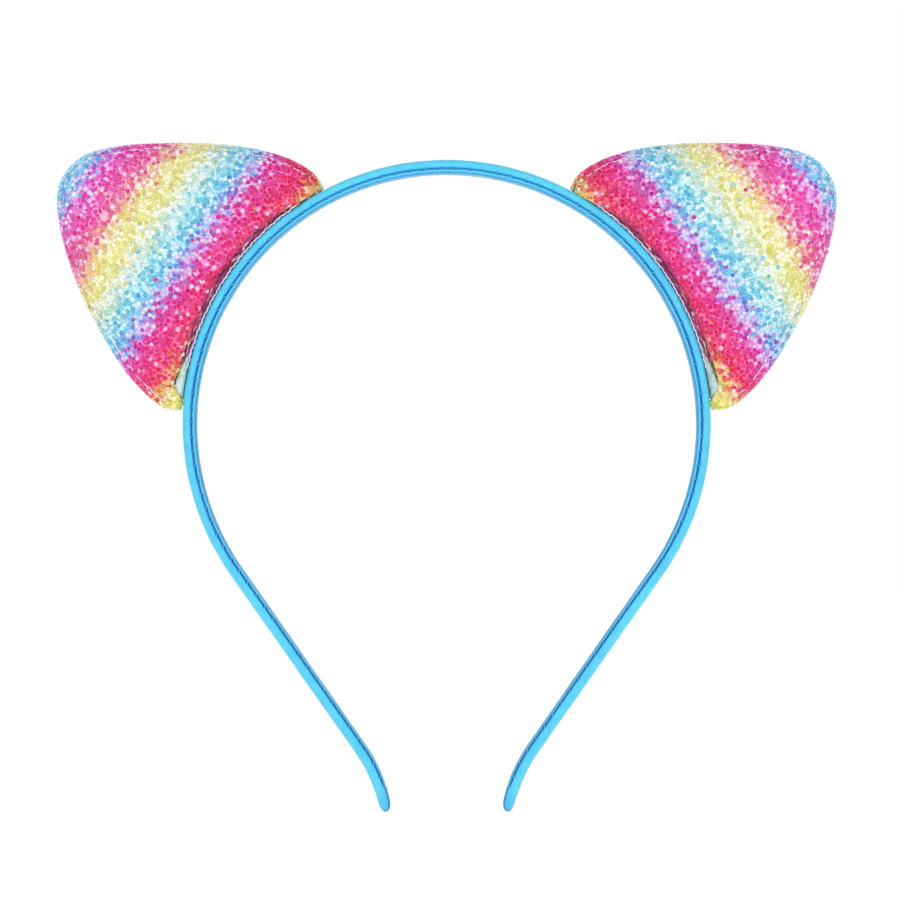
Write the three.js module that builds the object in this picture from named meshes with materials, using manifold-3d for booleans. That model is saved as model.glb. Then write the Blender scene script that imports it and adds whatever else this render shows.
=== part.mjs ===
// Animal ears headband: a covered spring hoop with two padded glitter ears.
// Lengths are in mm. The origin is the middle of the crown's inner face, +Z is up,
// and the hoop's front edge faces -Y.
import * as THREE from 'three';
import { mergeVertices } from 'three/addons/utils/BufferGeometryUtils.js';
import Module from 'manifold-3d';

const wasm = await Module();
wasm.setup();

// Hoop outline, seen from the front
const INNER_RADIUS = 60; // inner face of the crown
const BAND_THICKNESS = 3.2; // inner face to outer face, covered
const CROWN_ANGLE = 125; // degrees from the top to where a leg turns straight
const LEG_LENGTH = 52; // straight part of each leg
const TIP_RADIUS = 36; // reverse curve that turns the tips down
const TIP_ANGLE = 26; // degrees
const CROWN_STEPS = 26; // facets of one half of the crown arc
const TIP_STEPS = 5;
const CAP_STEPS = 6; // facets of a rounded tip

// Hoop outline, seen from the side
const CROWN_DEPTH = 7; // front edge to back edge at the crown
const TIP_DEPTH = 5;
const TAPER_START = 25; // below the crown's inner face
const TIP_CORNER = 2; // rounding of a tip seen from the side

// Layers of the covered hoop
const FABRIC = 0.5;
const CLEARANCE = 0.3; // between pieces that touch
const GROOVE_INNER = 0.9; // the seam groove, measured from the inner face
const GROOVE_OUTER = 1.9;
const THREAD = 0.4;
const THREAD_RECESS = 0.1; // thread below the face of the fabric
const SEAM_STOP = 6.5; // distance from the seam's end to the tip

// Split between the crown and the springy sides
const CROWN_HALF_ANGLE = 15;
const FLEX_GAP = 0.35;

// Ears. Each is drawn about its own axis: across, and outward from the band.
const EAR_ANGLE = 57; // ear's axis from the top of the hoop, degrees
const EAR_TIP_RADIUS = 12.5;
const EAR_TIP_ANGLE = 44; // half of the tip's arc
const EAR_TIP_CENTRE = 33.4; // from the band's outer face
const EAR_TIP_PULL = 15; // how far a side leaves the tip before it bends
const EAR_HALF_WIDTH = 33.2; // just below the band's highest point under the ear
const EAR_WIDEST = -2.5;
const EAR_SIDE_PULL = 14.5; // how far a side stays upright above its widest point
const EAR_CORNER = 8; // radius of the lower corners
const EAR_THICKNESS = 14;
const EAR_FLAT = 3; // thickness at the middle of the rim
const EAR_ROUNDING = 6; // width of the rounded rim
const EAR_PANEL = 0.8;
const EAR_SEAM_GAP = 1; // between the front and back panels, for the rim thread
const STRIP_THICKNESS = 0.8;
const STRIP_DEPTH = 8;
const STRIP_ANGLES = [-27.5, 22]; // about the ear's axis, positive towards the lower corner
const BEAD_ANGLES = [22.8, 28];
const BEAD_DEPTH = 5;
const BEAD_BEVEL = 0.3;

const EAR_CURVE_STEPS = 6; // facets of each curve of the ear's outline
const ROUNDING_STEPS = 4;
const RING_STEPS = 96;
const FACET_DEGREES = 2; // of the layers between an ear and the band

const FAR = 200; // reaches past the whole part

const middle = BAND_THICKNESS / 2;
const midRadius = INNER_RADIUS + middle;
const outerRadius = INNER_RADIUS + BAND_THICKNESS;
const crownEnd = THREE.MathUtils.degToRad(CROWN_ANGLE);
const facetAngle = (2 * crownEnd) / (2 * CROWN_STEPS + 1);
const centreZ = -INNER_RADIUS * Math.cos(facetAngle / 2); // a crown facet lies on the origin
const crownLength = midRadius * crownEnd;
const tipSweep = THREE.MathUtils.degToRad(TIP_ANGLE);
const tipStart = crownLength + LEG_LENGTH;
const hoopLength = tipStart + TIP_RADIUS * tipSweep;

const finish = (color, roughness) => new THREE.MeshStandardMaterial({ color, roughness, metalness: 0 });
const materials = {
  band_core_plastic: finish(0x2b2d33, 0.55),
  satin_cover: finish(0x6fa3d8, 0.42),
  satin_lining: finish(0x8fb6e0, 0.48),
  seam_thread: finish(0x2f5f9e, 0.7),
  rainbow_glitter: finish(0xd86fb4, 0.25),
  polyester_fill: finish(0xf4f4f0, 0.95),
  white_felt: finish(0xf2f3f1, 0.9),
  hot_melt_glue: finish(0xb9c4bf, 0.3),
};
for (const [name, material] of Object.entries(materials)) material.name = name;

// Turn a shape drawn in x and y, and extruded, to stand in the part's frame.
const seenFromFront = new THREE.Matrix4().makeBasis(
  new THREE.Vector3(1, 0, 0), new THREE.Vector3(0, 0, 1), new THREE.Vector3(0, -1, 0),
);
const seenFromSide = new THREE.Matrix4().makeBasis(
  new THREE.Vector3(0, 1, 0), new THREE.Vector3(0, 0, 1), new THREE.Vector3(1, 0, 0),
);

function toSolid(geometry) {
  const bare = geometry.clone();
  bare.deleteAttribute('normal');
  bare.deleteAttribute('uv');
  const merged = mergeVertices(bare, 1e-4);
  return new wasm.Manifold(new wasm.Mesh({
    numProp: 3,
    vertProperties: new Float32Array(merged.attributes.position.array),
    triVerts: new Uint32Array(merged.index.array),
  }));
}

function toMesh(name, solid, materialName) {
  const { vertProperties, triVerts } = solid.getMesh();
  const indexed = new THREE.BufferGeometry();
  indexed.setAttribute('position', new THREE.BufferAttribute(new Float32Array(vertProperties), 3));
  indexed.setIndex(new THREE.BufferAttribute(new Uint32Array(triVerts), 1));
  const geometry = indexed.toNonIndexed();
  geometry.computeVertexNormals();
  const mesh = new THREE.Mesh(geometry, materials[materialName]);
  mesh.name = name;
  return mesh;
}

// A flat outline given a depth centred on zero, standing in the part's frame.
function extruded(shape, depth, placing, bevel = {}) {
  const geometry = new THREE.ExtrudeGeometry(shape, { depth, bevelEnabled: false, curveSegments: 12, ...bevel });
  geometry.translate(0, 0, -depth / 2);
  geometry.applyMatrix4(placing);
  return toSolid(geometry);
}

// Corner points where two curves of an outline meet are kept once.
function withoutRepeats(points) {
  return points.filter((p, i) => p.distanceTo(points.at(i - 1)) > 0.01);
}

function block(x0, x1, y0, y1, z0, z1) {
  const box = new THREE.BoxGeometry(x1 - x0, y1 - y0, z1 - z0);
  box.translate((x0 + x1) / 2, (y0 + y1) / 2, (z0 + z1) / 2);
  return toSolid(box);
}

// A point on the right half of the hoop, at distance s from the top along the
// middle of the band, and offset outward from that middle line.
function hoopPoint(s, offset) {
  if (s <= crownLength) {
    const angle = s / midRadius;
    const radius = midRadius + offset;
    return new THREE.Vector2(radius * Math.sin(angle), centreZ + radius * Math.cos(angle));
  }
  const outward = new THREE.Vector2(Math.sin(crownEnd), Math.cos(crownEnd));
  const down = new THREE.Vector2(Math.cos(crownEnd), -Math.sin(crownEnd));
  const legTop = hoopPoint(crownLength, 0);
  if (s <= tipStart) return legTop.addScaledVector(down, s - crownLength).addScaledVector(outward, offset);
  const turn = (s - tipStart) / TIP_RADIUS;
  const centre = legTop.addScaledVector(down, LEG_LENGTH).addScaledVector(outward, TIP_RADIUS);
  const spoke = outward.rotateAround(new THREE.Vector2(), turn);
  return centre.addScaledVector(spoke, offset - TIP_RADIUS);
}

// Distances along the right half at which the outline has a point.
function stationsTo(end) {
  const list = [];
  for (let i = 0; i <= CROWN_STEPS; i += 1) list.push(midRadius * facetAngle * (i + 0.5));
  for (let i = 0; i <= TIP_STEPS; i += 1) list.push(tipStart + (TIP_RADIUS * tipSweep * i) / TIP_STEPS);
  return [...list.filter((s) => s < end - 0.05), end];
}

// The hoop between two distances from its inner face, ending short of the tips.
function hoopShape(inner, outer, stop, rounded) {
  const radius = (outer - inner) / 2;
  const end = hoopLength - stop - (rounded ? radius : 0);
  const stations = stationsTo(end);
  const half = stations.map((s) => hoopPoint(s, outer - middle));
  if (rounded) {
    const tip = hoopPoint(end, (inner + outer) / 2 - middle);
    const spoke = half.at(-1).clone().sub(tip);
    for (let i = 1; i < CAP_STEPS; i += 1) {
      half.push(tip.clone().add(spoke.clone().rotateAround(new THREE.Vector2(), (-Math.PI * i) / CAP_STEPS)));
    }
  }
  half.push(...stations.reverse().map((s) => hoopPoint(s, inner - middle)));
  const otherHalf = half.map((p) => new THREE.Vector2(-p.x, p.y)).reverse();
  return new THREE.Shape([...half, ...otherHalf]);
}

// The hoop's side view, which narrows to rounded tips.
function sideShape(inset) {
  const bottom = hoopPoint(hoopLength, 0).y + inset;
  const corner = TIP_CORNER - inset;
  const wide = CROWN_DEPTH / 2 - inset;
  const narrow = TIP_DEPTH / 2 - inset;
  const shape = new THREE.Shape();
  shape.moveTo(-wide, FAR);
  shape.lineTo(-wide, -TAPER_START);
  shape.lineTo(-narrow, bottom + corner);
  shape.absarc(-narrow + corner, bottom + corner, corner, Math.PI, 1.5 * Math.PI, false);
  shape.absarc(narrow - corner, bottom + corner, corner, -0.5 * Math.PI, 0, false);
  shape.lineTo(wide, -TAPER_START);
  shape.lineTo(wide, FAR);
  return shape;
}

// The whole covered hoop, shrunk on every side by an inset.
function hoopSolid(inset) {
  const front = extruded(hoopShape(inset, BAND_THICKNESS - inset, inset, true), FAR, seenFromFront);
  return front.intersect(extruded(sideShape(inset), 2 * FAR, seenFromSide, { curveSegments: 4 }));
}

const hoopZone = (inner, outer, stop) => extruded(hoopShape(inner, outer, stop, false), FAR, seenFromFront);

// A wedge about the hoop's centre, from one angle to another, measured from the top.
function wedge(from, to) {
  const shape = new THREE.Shape([
    new THREE.Vector2(0, centreZ),
    new THREE.Vector2(FAR * Math.sin(from), centreZ + FAR * Math.cos(from)),
    new THREE.Vector2(FAR * Math.sin(to), centreZ + FAR * Math.cos(to)),
  ]);
  return extruded(shape, FAR, seenFromFront);
}

// The band's layers, each a whole hoop until it is split for flexing
function bandLayers() {
  const skin = hoopSolid(0).subtract(hoopSolid(FABRIC));
  const lining = skin.intersect(hoopZone(-1, GROOVE_INNER, SEAM_STOP));
  const cover = skin.subtract(hoopZone(-1, GROOVE_OUTER, SEAM_STOP - CLEARANCE));
  const seamMiddle = (GROOVE_INNER + GROOVE_OUTER) / 2;
  const seamZone = hoopZone(seamMiddle - THREAD / 2, seamMiddle + THREAD / 2, SEAM_STOP);
  const threads = seamZone
    .intersect(extruded(sideShape(THREAD_RECESS), 2 * FAR, seenFromSide))
    .subtract(extruded(sideShape(THREAD_RECESS + THREAD), 2 * FAR, seenFromSide));
  return {
    band_core: [hoopSolid(FABRIC + CLEARANCE), 'band_core_plastic'],
    band_cover: [cover, 'satin_cover'],
    band_lining: [lining, 'satin_lining'],
    front_seam_thread: [threads.intersect(block(-FAR, FAR, -FAR, 0, -FAR, FAR)), 'seam_thread'],
    rear_seam_thread: [threads.intersect(block(-FAR, FAR, 0, FAR, -FAR, FAR)), 'seam_thread'],
  };
}

// The ear's outline. Its lower edge lies inside the hoop, and is cut away where the ear sits.
function earShape() {
  const tipAngle = THREE.MathUtils.degToRad(EAR_TIP_ANGLE);
  const tipEnd = new THREE.Vector2(Math.sin(tipAngle), Math.cos(tipAngle)).multiplyScalar(EAR_TIP_RADIUS);
  tipEnd.y += EAR_TIP_CENTRE;
  const pull = new THREE.Vector2(Math.cos(tipAngle), -Math.sin(tipAngle)).multiplyScalar(EAR_TIP_PULL).add(tipEnd);
  const [wide, low, high] = [EAR_HALF_WIDTH, EAR_WIDEST, EAR_WIDEST + EAR_SIDE_PULL];
  const shape = new THREE.Shape();
  shape.absarc(wide - EAR_CORNER, low, EAR_CORNER, -Math.PI / 2, 0, false);
  shape.bezierCurveTo(wide, high, pull.x, pull.y, tipEnd.x, tipEnd.y);
  shape.absarc(0, EAR_TIP_CENTRE, EAR_TIP_RADIUS, Math.PI / 2 - tipAngle, Math.PI / 2 + tipAngle, false);
  shape.bezierCurveTo(-pull.x, pull.y, -wide, high, -wide, low);
  shape.absarc(EAR_CORNER - wide, low, EAR_CORNER, Math.PI, 1.5 * Math.PI, false);
  return new THREE.Shape(withoutRepeats(shape.getPoints(EAR_CURVE_STEPS)));
}

// The ring that the ear sits on: the base strip's outside, flaring away from it
// towards the ear's front and back, so that the ear's lower edge is rounded too.
function seatRing(inset) {
  const radius = outerRadius + STRIP_THICKNESS + 2 * CLEARANCE + inset;
  const bulge = (EAR_THICKNESS - EAR_FLAT) / 2 - inset;
  const flare = EAR_ROUNDING - inset;
  const half = [new THREE.Vector2(radius, EAR_FLAT / 2)];
  for (let i = 1; i <= ROUNDING_STEPS; i += 1) {
    const turn = (Math.PI / 2) * (i / ROUNDING_STEPS);
    half.push(new THREE.Vector2(
      radius + flare * (1 - Math.cos(turn)),
      EAR_FLAT / 2 + bulge * Math.sin(turn),
    ));
  }
  half.push(new THREE.Vector2(radius + flare, EAR_THICKNESS));
  half.push(new THREE.Vector2(INNER_RADIUS / 2, EAR_THICKNESS));
  const otherHalf = half.map((p) => new THREE.Vector2(p.x, -p.y)).reverse();
  const profile = [...otherHalf, ...half, otherHalf[0]];
  const ring = new THREE.LatheGeometry(profile, RING_STEPS);
  ring.translate(0, 0, -outerRadius);
  return toSolid(ring);
}

// The padded ear, shrunk on every side by an inset
function earSolid(inset) {
  const pillow = extruded(earShape(), EAR_FLAT, seenFromFront, {
    bevelEnabled: true,
    bevelSegments: ROUNDING_STEPS,
    bevelThickness: (EAR_THICKNESS - EAR_FLAT) / 2 - inset,
    bevelSize: EAR_ROUNDING - inset,
    bevelOffset: -EAR_ROUNDING,
  });
  return pillow.subtract(seatRing(inset));
}

// A layer between the ear and the band, from one angle about the ear's axis to another
function baseLayer(angles, depth, bevel) {
  const [from, to] = angles.map((angle) => Math.PI / 2 - THREE.MathUtils.degToRad(angle));
  const inner = outerRadius + CLEARANCE;
  const shape = new THREE.Shape();
  shape.absarc(0, -outerRadius, inner + STRIP_THICKNESS, from, to, true);
  shape.absarc(0, -outerRadius, inner, to, from, false);
  const steps = Math.ceil((angles[1] - angles[0]) / (2 * FACET_DEGREES));
  return extruded(new THREE.Shape(withoutRepeats(shape.getPoints(steps))), depth - 2 * bevel, seenFromFront, {
    bevelEnabled: bevel > 0,
    bevelSegments: 2,
    bevelThickness: bevel,
    bevelSize: bevel,
    bevelOffset: -bevel,
  });
}

function earPieces(side, sign) {
  const outer = earSolid(0);
  const inner = earSolid(EAR_PANEL);
  const shell = outer.subtract(inner);
  const half = EAR_SEAM_GAP / 2;
  const seam = earSolid(THREAD / 2).subtract(earSolid(THREAD * 1.5));
  const lower = (angles) => (sign > 0 ? angles : angles.map((angle) => -angle).reverse());
  const pieces = {
    front_panel: [shell.intersect(block(-FAR, FAR, -FAR, -half, -FAR, FAR)), 'rainbow_glitter'],
    back_panel: [shell.intersect(block(-FAR, FAR, half, FAR, -FAR, FAR)), 'rainbow_glitter'],
    padding: [earSolid(EAR_PANEL + CLEARANCE), 'polyester_fill'],
    rim_seam_thread: [seam.intersect(block(-FAR, FAR, -THREAD / 2, THREAD / 2, -FAR, FAR)), 'seam_thread'],
    base_strip: [baseLayer(lower(STRIP_ANGLES), STRIP_DEPTH, 0), 'white_felt'],
    glue_bead: [baseLayer(lower(BEAD_ANGLES), BEAD_DEPTH, BEAD_BEVEL), 'hot_melt_glue'],
  };
  const group = new THREE.Group();
  group.name = `${side}_ear`;
  const angle = THREE.MathUtils.degToRad(EAR_ANGLE) * sign;
  group.position.set(outerRadius * Math.sin(angle), 0, centreZ + outerRadius * Math.cos(angle));
  group.rotation.y = angle;
  for (const [name, [solid, material]] of Object.entries(pieces)) {
    group.add(toMesh(`${side}_ear_${name}`, solid, material));
  }
  return group;
}

function headband() {
  const root = new THREE.Group();
  root.name = 'animal_ears_headband';
  const split = THREE.MathUtils.degToRad(CROWN_HALF_ANGLE);
  const gap = FLEX_GAP / midRadius;
  const zones = {
    crown: wedge(-split, split),
    left: block(-FAR, 0, -FAR, FAR, -FAR, FAR).subtract(wedge(-split - gap, split + gap)),
    right: block(0, FAR, -FAR, FAR, -FAR, FAR).subtract(wedge(-split - gap, split + gap)),
  };
  const layers = bandLayers();
  for (const [zoneName, zone] of Object.entries(zones)) {
    const group = new THREE.Group();
    group.name = `${zoneName}_band`;
    for (const [layerName, [solid, material]] of Object.entries(layers)) {
      group.add(toMesh(`${layerName}_${zoneName}`, solid.intersect(zone), material));
    }
    root.add(group);
  }
  root.add(earPieces('left', -1), earPieces('right', 1));
  return root;
}

export default headband();
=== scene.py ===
import math
from itertools import product

import bmesh
import bpy
import numpy as np
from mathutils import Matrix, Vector, geometry, noise


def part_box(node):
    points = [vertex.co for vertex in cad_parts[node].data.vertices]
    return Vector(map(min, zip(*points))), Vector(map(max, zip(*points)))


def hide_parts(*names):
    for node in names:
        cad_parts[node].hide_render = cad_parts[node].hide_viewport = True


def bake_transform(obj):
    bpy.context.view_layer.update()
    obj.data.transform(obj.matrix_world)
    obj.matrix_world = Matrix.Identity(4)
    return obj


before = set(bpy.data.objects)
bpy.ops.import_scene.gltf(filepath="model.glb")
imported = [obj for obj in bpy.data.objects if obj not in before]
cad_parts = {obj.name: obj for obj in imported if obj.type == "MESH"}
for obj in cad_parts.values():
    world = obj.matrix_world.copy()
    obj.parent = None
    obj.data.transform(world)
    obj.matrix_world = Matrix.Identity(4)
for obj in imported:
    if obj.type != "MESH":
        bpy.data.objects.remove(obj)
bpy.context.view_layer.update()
scene = bpy.context.scene

MM = 0.001

# The hoop's mid-line, in mm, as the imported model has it
INNER_RADIUS = 60.0
THICKNESS = 3.2
CROWN_END = math.radians(125)
LEG_LENGTH = 52.0
TIP_RADIUS = 36.0
TIP_TURN = math.radians(26)
MID_RADIUS = INNER_RADIUS + THICKNESS / 2
OUTER_RADIUS = INNER_RADIUS + THICKNESS
CENTRE_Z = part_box("band_cover_crown")[1].z / MM - OUTER_RADIUS
CROWN_LENGTH = MID_RADIUS * CROWN_END
TIP_START = CROWN_LENGTH + LEG_LENGTH
HOOP_LENGTH = TIP_START + TIP_RADIUS * TIP_TURN
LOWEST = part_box("band_cover_left")[0].z / MM
SIDES = (("left", -1), ("right", 1))

# The covered band
STITCH = 3.5  # from one stitch to the next
SEAM_STOP = 6.5  # from the seam's end to the tip
FABRIC = 0.3
GROOVE_DEPTH = 0.9
TIP_ROUND = 2.3
TIP_TAPER = 6.5  # the length of the narrowing before a tip
LEG_TOP = -25  # where the band starts to narrow down the legs

# The ears, each in its own axes: across, and outward from the band
EAR_AXIS = math.radians(57)
SEAT_RADIUS = 64.5
EAR_DEPTH = 6.5  # half of the thickness of the padded ear
PANEL = 0.6
SPREAD = 1.6  # between the points of the ear's cloth
RIM_INSET = 0.5  # from the outline to the panels' edges; the piping fills it
SEWN_DEPTH = 0.5  # from the ear's middle plane to a panel's sewn edge
SEAT_HALF = 29.4  # degrees from the seat's middle to its ends
HEM_RADII, STRIP_RADII = (63.5, 65.4), (63.36, 63.62)  # about the hoop's centre
BASE_RADIUS, GLUE_RADIUS = 64.0, 63.3
CLOTH_SCALE, CLOTH_FRAMES = 10, 20

# Glitter discs: bedded in the ground, loose on top of it, and fine ones round the rim
BEDDED = {"spacing": 0.84, "tries": 26000, "lift": (0.04, 0.3), "tilt": 9, "radius": (0.5, 0.7)}
LOOSE = {"spacing": 1.9, "tries": 2500, "lift": (0.24, 0.36), "tilt": 12, "radius": (0.52, 0.64)}
FINE = {"spacing": 0.44, "tries": 9000, "lift": (0.0, 0.03), "tilt": 2, "radius": (0.22, 0.29)}
DISC_SIDES, DISC_DOME = 8, 0.03
# Discs by the seat get this number and turn dark: painted shade under the ear's edge
SHADED_DISC = 0.99  # a number from 0 to 1 that the material shows as a smoky disc

rng = np.random.default_rng(4217)
noise.seed_set(4217)


# ---------------------------------------------------------------- meshes

def new_object(name, points, faces, material, closed=True):
    """A mesh object from points in mm."""
    mesh = bpy.data.meshes.new(name)
    mesh.from_pydata([tuple(p) for p in np.asarray(points) * MM], [], [tuple(f) for f in faces])
    mesh.validate()
    if closed:
        bm = bmesh.new()
        bm.from_mesh(mesh)
        bmesh.ops.recalc_face_normals(bm, faces=bm.faces)
        bm.to_mesh(mesh)
        bm.free()
    mesh.polygons.foreach_set("use_smooth", [True] * len(mesh.polygons))
    mesh.materials.append(material)
    ob = bpy.data.objects.new(name, mesh)
    scene.collection.objects.link(ob)
    return ob


def keep(ob, name, values):
    """Keeps a number or a vector per vertex on the mesh, for its material."""
    values = np.asarray(values, np.float32)
    kind, key = ("FLOAT_VECTOR", "vector") if values.ndim == 2 else ("FLOAT", "value")
    ob.data.attributes.new(name, kind, "POINT").data.foreach_set(key, values.ravel())


def tube_faces(rings, sides):
    """The quads of a tube of rings, each of so many sides."""
    faces = []
    for a in range(0, (rings - 1) * sides, sides):
        for k in range(sides):
            k1 = (k + 1) % sides
            faces.append((a + k, a + k1, a + sides + k1, a + sides + k))
    return faces


def closed_tube(rings, sides):
    """The faces of a tube with flat ends."""
    ends = [range(sides)[::-1], range((rings - 1) * sides, rings * sides)]
    return tube_faces(rings, sides) + ends


def cap_faces(ring, first):
    """Triangles that close a flat ring of points, which may be hollowed like a crescent."""
    triangles = geometry.tessellate_polygon([[Vector(p) for p in ring]])
    return [tuple(first + i for i in t) for t in triangles]


# ---------------------------------------------------------------- materials

def srgb(r, g, b):
    """A linear colour from 8 bit sRGB values."""
    values = []
    for c in (r, g, b):
        c /= 255
        values.append(c / 12.92 if c <= 0.04045 else ((c + 0.055) / 1.055) ** 2.4)
    return (*values, 1)


class Surface:
    """A material on the Principled shader, with short calls to add its nodes."""

    def __init__(self, name, **constants):
        self.material = bpy.data.materials.new(name)
        self.material.use_nodes = True
        self.tree = self.material.node_tree
        self.shader = self.tree.nodes["Principled BSDF"]
        for key, value in constants.items():
            socket = key.replace("_", " ").title().replace("Ior", "IOR")
            self.shader.inputs[socket].default_value = value

    def add(self, kind, inputs=None, **settings):
        made = self.tree.nodes.new("ShaderNode" + kind)
        for key, value in settings.items():
            setattr(made, key, value)
        for key, value in (inputs or {}).items():
            if isinstance(value, bpy.types.NodeSocket):
                self.tree.links.new(value, made.inputs[key])
            else:
                made.inputs[key].default_value = value
        return made

    def math(self, operation, a, b=0.0, c=0.0):
        return self.add("Math", {0: a, 1: b, 2: c}, operation=operation).outputs[0]

    def times(self, a, b):
        return self.math("MULTIPLY", a, b)

    def times_add(self, a, b, c):
        return self.math("MULTIPLY_ADD", a, b, c)

    def mix(self, share, a, b, blend_type="MIX"):
        made = self.add("Mix", {0: share, 6: a, 7: b}, data_type="RGBA", blend_type=blend_type)
        return made.outputs[2]

    def multiply(self, a, b):
        """Two colours multiplied."""
        return self.mix(1.0, a, b, "MULTIPLY")

    def tint(self, colour, other, value, low, high, first=0.0, last=1.0):
        """The colour, with a share of another: first where the value is low, last where it is high."""
        return self.mix(self.between(value, low, high, first, last), colour, other)

    def between(self, value, low, high, to_low=0.0, to_high=1.0):
        return self.add("MapRange", {0: value, 1: low, 2: high, 3: to_low, 4: to_high}).outputs[0]

    def kept(self, name):
        """What keep() put on the mesh, as a number and as a vector."""
        outputs = self.add("Attribute", attribute_name=name).outputs
        return outputs["Fac"], outputs["Vector"]

    def own_place(self):
        return self.add("TexCoord").outputs["Object"]

    def stretched(self, vector, scale):
        return self.add("Mapping", {"Vector": vector, "Scale": scale}).outputs[0]

    def parts(self, vector):
        return self.add("SeparateXYZ", {0: vector}).outputs

    def noise(self, vector, scale, detail=2.0, rough=0.5):
        inputs = {"Vector": vector, "Scale": scale, "Detail": detail, "Roughness": rough}
        return self.add("TexNoise", inputs).outputs["Fac"]

    def cells(self, vector, scale, feature="F1"):
        return self.add("TexVoronoi", {"Vector": vector, "Scale": scale}, feature=feature).outputs

    def ramp(self, value, stops, interpolation="LINEAR"):
        """A colour ramp; stops are (position from 0 to 1, colour)."""
        made = self.add("ValToRGB", {0: value})
        ramp = made.color_ramp
        ramp.interpolation = interpolation
        for i, (position, colour) in enumerate(stops):
            stop = ramp.elements[i] if i < 2 else ramp.elements.new(position)
            stop.position = position
            stop.color = colour
        return made.outputs[0]

    def bump(self, height, strength, distance_mm):
        inputs = {"Height": height, "Strength": strength, "Distance": distance_mm * MM}
        self.feed("Normal", self.add("Bump", inputs).outputs[0])

    def feed(self, key, value):
        self.tree.links.new(value, self.shader.inputs[key])


WARP, FLOAT = 0.3, 0.55  # the satin's threads across the band, and their floats along it
SEAM_END = HOOP_LENGTH - SEAM_STOP


def satin(name, base, deep, shine, tip, valley, ridge):
    """Woven satin. Its threads follow the band: 'weave' is length, girth and distance from the seam in mm.
    Painted shade darkens the fabric towards the seam and the tip, most in the seam's valley; a ridge beside
    the seam gets a painted highlight."""
    s = Surface(name, Sheen_weight=0.2, Sheen_roughness=0.4, Sheen_tint=(0.85, 0.95, 0.97, 1),
                Specular_ior_level=0.45)
    place = s.kept("weave")[1]
    along, girth, from_seam = s.parts(place)
    warp = s.math("SINE", s.times(girth, 2 * math.pi / WARP))
    floats = s.math("SINE", s.times_add(along, 2 * math.pi / FLOAT, s.times(girth, 9.0)))
    weave = s.times_add(floats, 0.5, warp)
    slubs = s.noise(s.stretched(place, (0.5, 6.0, 1.0)), 1.0, 3.0)
    cloudy = s.noise(place, 0.3, 3.0)
    grain = s.noise(place, 3.5, 2.0, 0.7)
    colour = s.tint(base, deep, weave, -1.5, 1.5, 0.75, 0.0)
    colour = s.tint(colour, shine, slubs, 0.35, 0.75, 0.0, 0.3)
    colour = s.tint(colour, deep, cloudy, 0.35, 0.65, 0.0, 0.38)
    # Painted shade: the fabric darker towards the seam, where it dips in
    colour = s.tint(colour, deep, from_seam, 1.6, 3.4, 0.22, 0.0)
    colour = s.tint(colour, shine, grain, 0.55, 0.8, 0.0, 0.4)
    opened = s.between(along, SEAM_END, SEAM_END + 1, 1.0, 0.0)
    # Painted highlight on the ridge beside the seam, as strong as ridge; none where the seam closes
    ridge_highlight = s.times(s.between(from_seam, 1.1, 1.35, 0.0, ridge), s.between(from_seam, 1.32, 1.66, 1.0, 0.0))
    colour = s.mix(s.times(ridge_highlight, opened), colour, srgb(92, 214, 248))
    # Painted shade in the seam's valley: wider at the crown, darker down the sides, none where the seam
    # closes
    reach = s.between(along, 60, 150, 0.95 + valley, 0.95 + 0.6 * valley)
    shade = s.math("POWER", s.between(from_seam, 0.95, reach, 1.0, 0.0), 2.5)
    seam_shade_colour = s.tint(srgb(0, 150, 210), srgb(0, 96, 186), along, 30, 70)
    colour = s.mix(s.times(s.times(shade, 0.95), opened), colour, s.mix(0.12, seam_shade_colour, colour))
    # Painted shade over the last mm to the tip, darkest at its very end
    colour = s.tint(colour, srgb(44, 124, 202), along, HOOP_LENGTH - 5.5, HOOP_LENGTH - 2.5, 0.0, tip)
    colour = s.tint(colour, srgb(40, 108, 172), along, HOOP_LENGTH - 1.2, HOOP_LENGTH - 0.2, 0.0, 0.55)
    s.feed("Base Color", colour)
    s.feed("Roughness", s.between(weave, -1.5, 1.5, 0.62, 0.4))
    s.bump(s.times_add(grain, 1.2, weave), 0.35, 0.05)
    return s.material


def plain(name, colour, darker, scale, roughness, bump_mm=0.03, **constants):
    """A simple solid material with mottled colour, roughness and fine bumps, in the piece's own place."""
    s = Surface(name, **constants)
    place = s.own_place()
    coarse = s.noise(place, scale, 4.0)
    fine = s.noise(place, scale * 6, 3.0, 0.6)
    s.feed("Base Color", s.tint(colour, darker, coarse, 0.35, 0.7))
    s.feed("Roughness", s.between(fine, 0.3, 0.7, roughness - 0.1, roughness + 0.1))
    s.bump(fine, 0.5, bump_mm)
    return s.material


RAINBOW = [  # distance from the band along the ear, in mm, and sRGB colour
    (-8.0, (226, 216, 92)), (-5.0, (230, 212, 100)), (-3.6, (224, 170, 84)), (-2.2, (222, 92, 66)),
    (-0.8, (228, 30, 88)), (1.2, (226, 2, 92)), (3.2, (226, 0, 108)), (5.4, (222, 4, 136)),
    (7.6, (210, 34, 162)), (9.2, (180, 72, 190)), (10.7, (116, 114, 212)), (12.1, (84, 164, 226)),
    (14.4, (88, 194, 220)),
    (16.6, (95, 199, 214)), (18.6, (179, 218, 207)), (20.8, (205, 220, 188)), (23.2, (217, 216, 123)),
    (26.8, (224, 219, 116)), (29.4, (227, 182, 127)), (31.2, (223, 98, 138)), (33.0, (227, 76, 157)),
    (36.2, (226, 34, 160)), (38.6, (224, 54, 180)), (40.9, (192, 84, 208)), (42.8, (88, 176, 236)),
    (44.6, (99, 200, 234)), (48.0, (102, 201, 231)),
]
RAINBOW_START, RAINBOW_SPAN = -12.0, 62.0
CLEAR_PLACES = [-8, -3, 0, 3, 7, 9.5, 12, 14.5, 18, 21, 27, 30, 34, 38, 41, 44]  # along the rainbow
CLEAR_SHARES = [0.2, 0.12, 0.04, 0.04, 0.16, 0.56, 0.54, 0.36, 0.42, 0.38, 0.4, 0.3, 0.14, 0.26, 0.42, 0.38]


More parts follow.
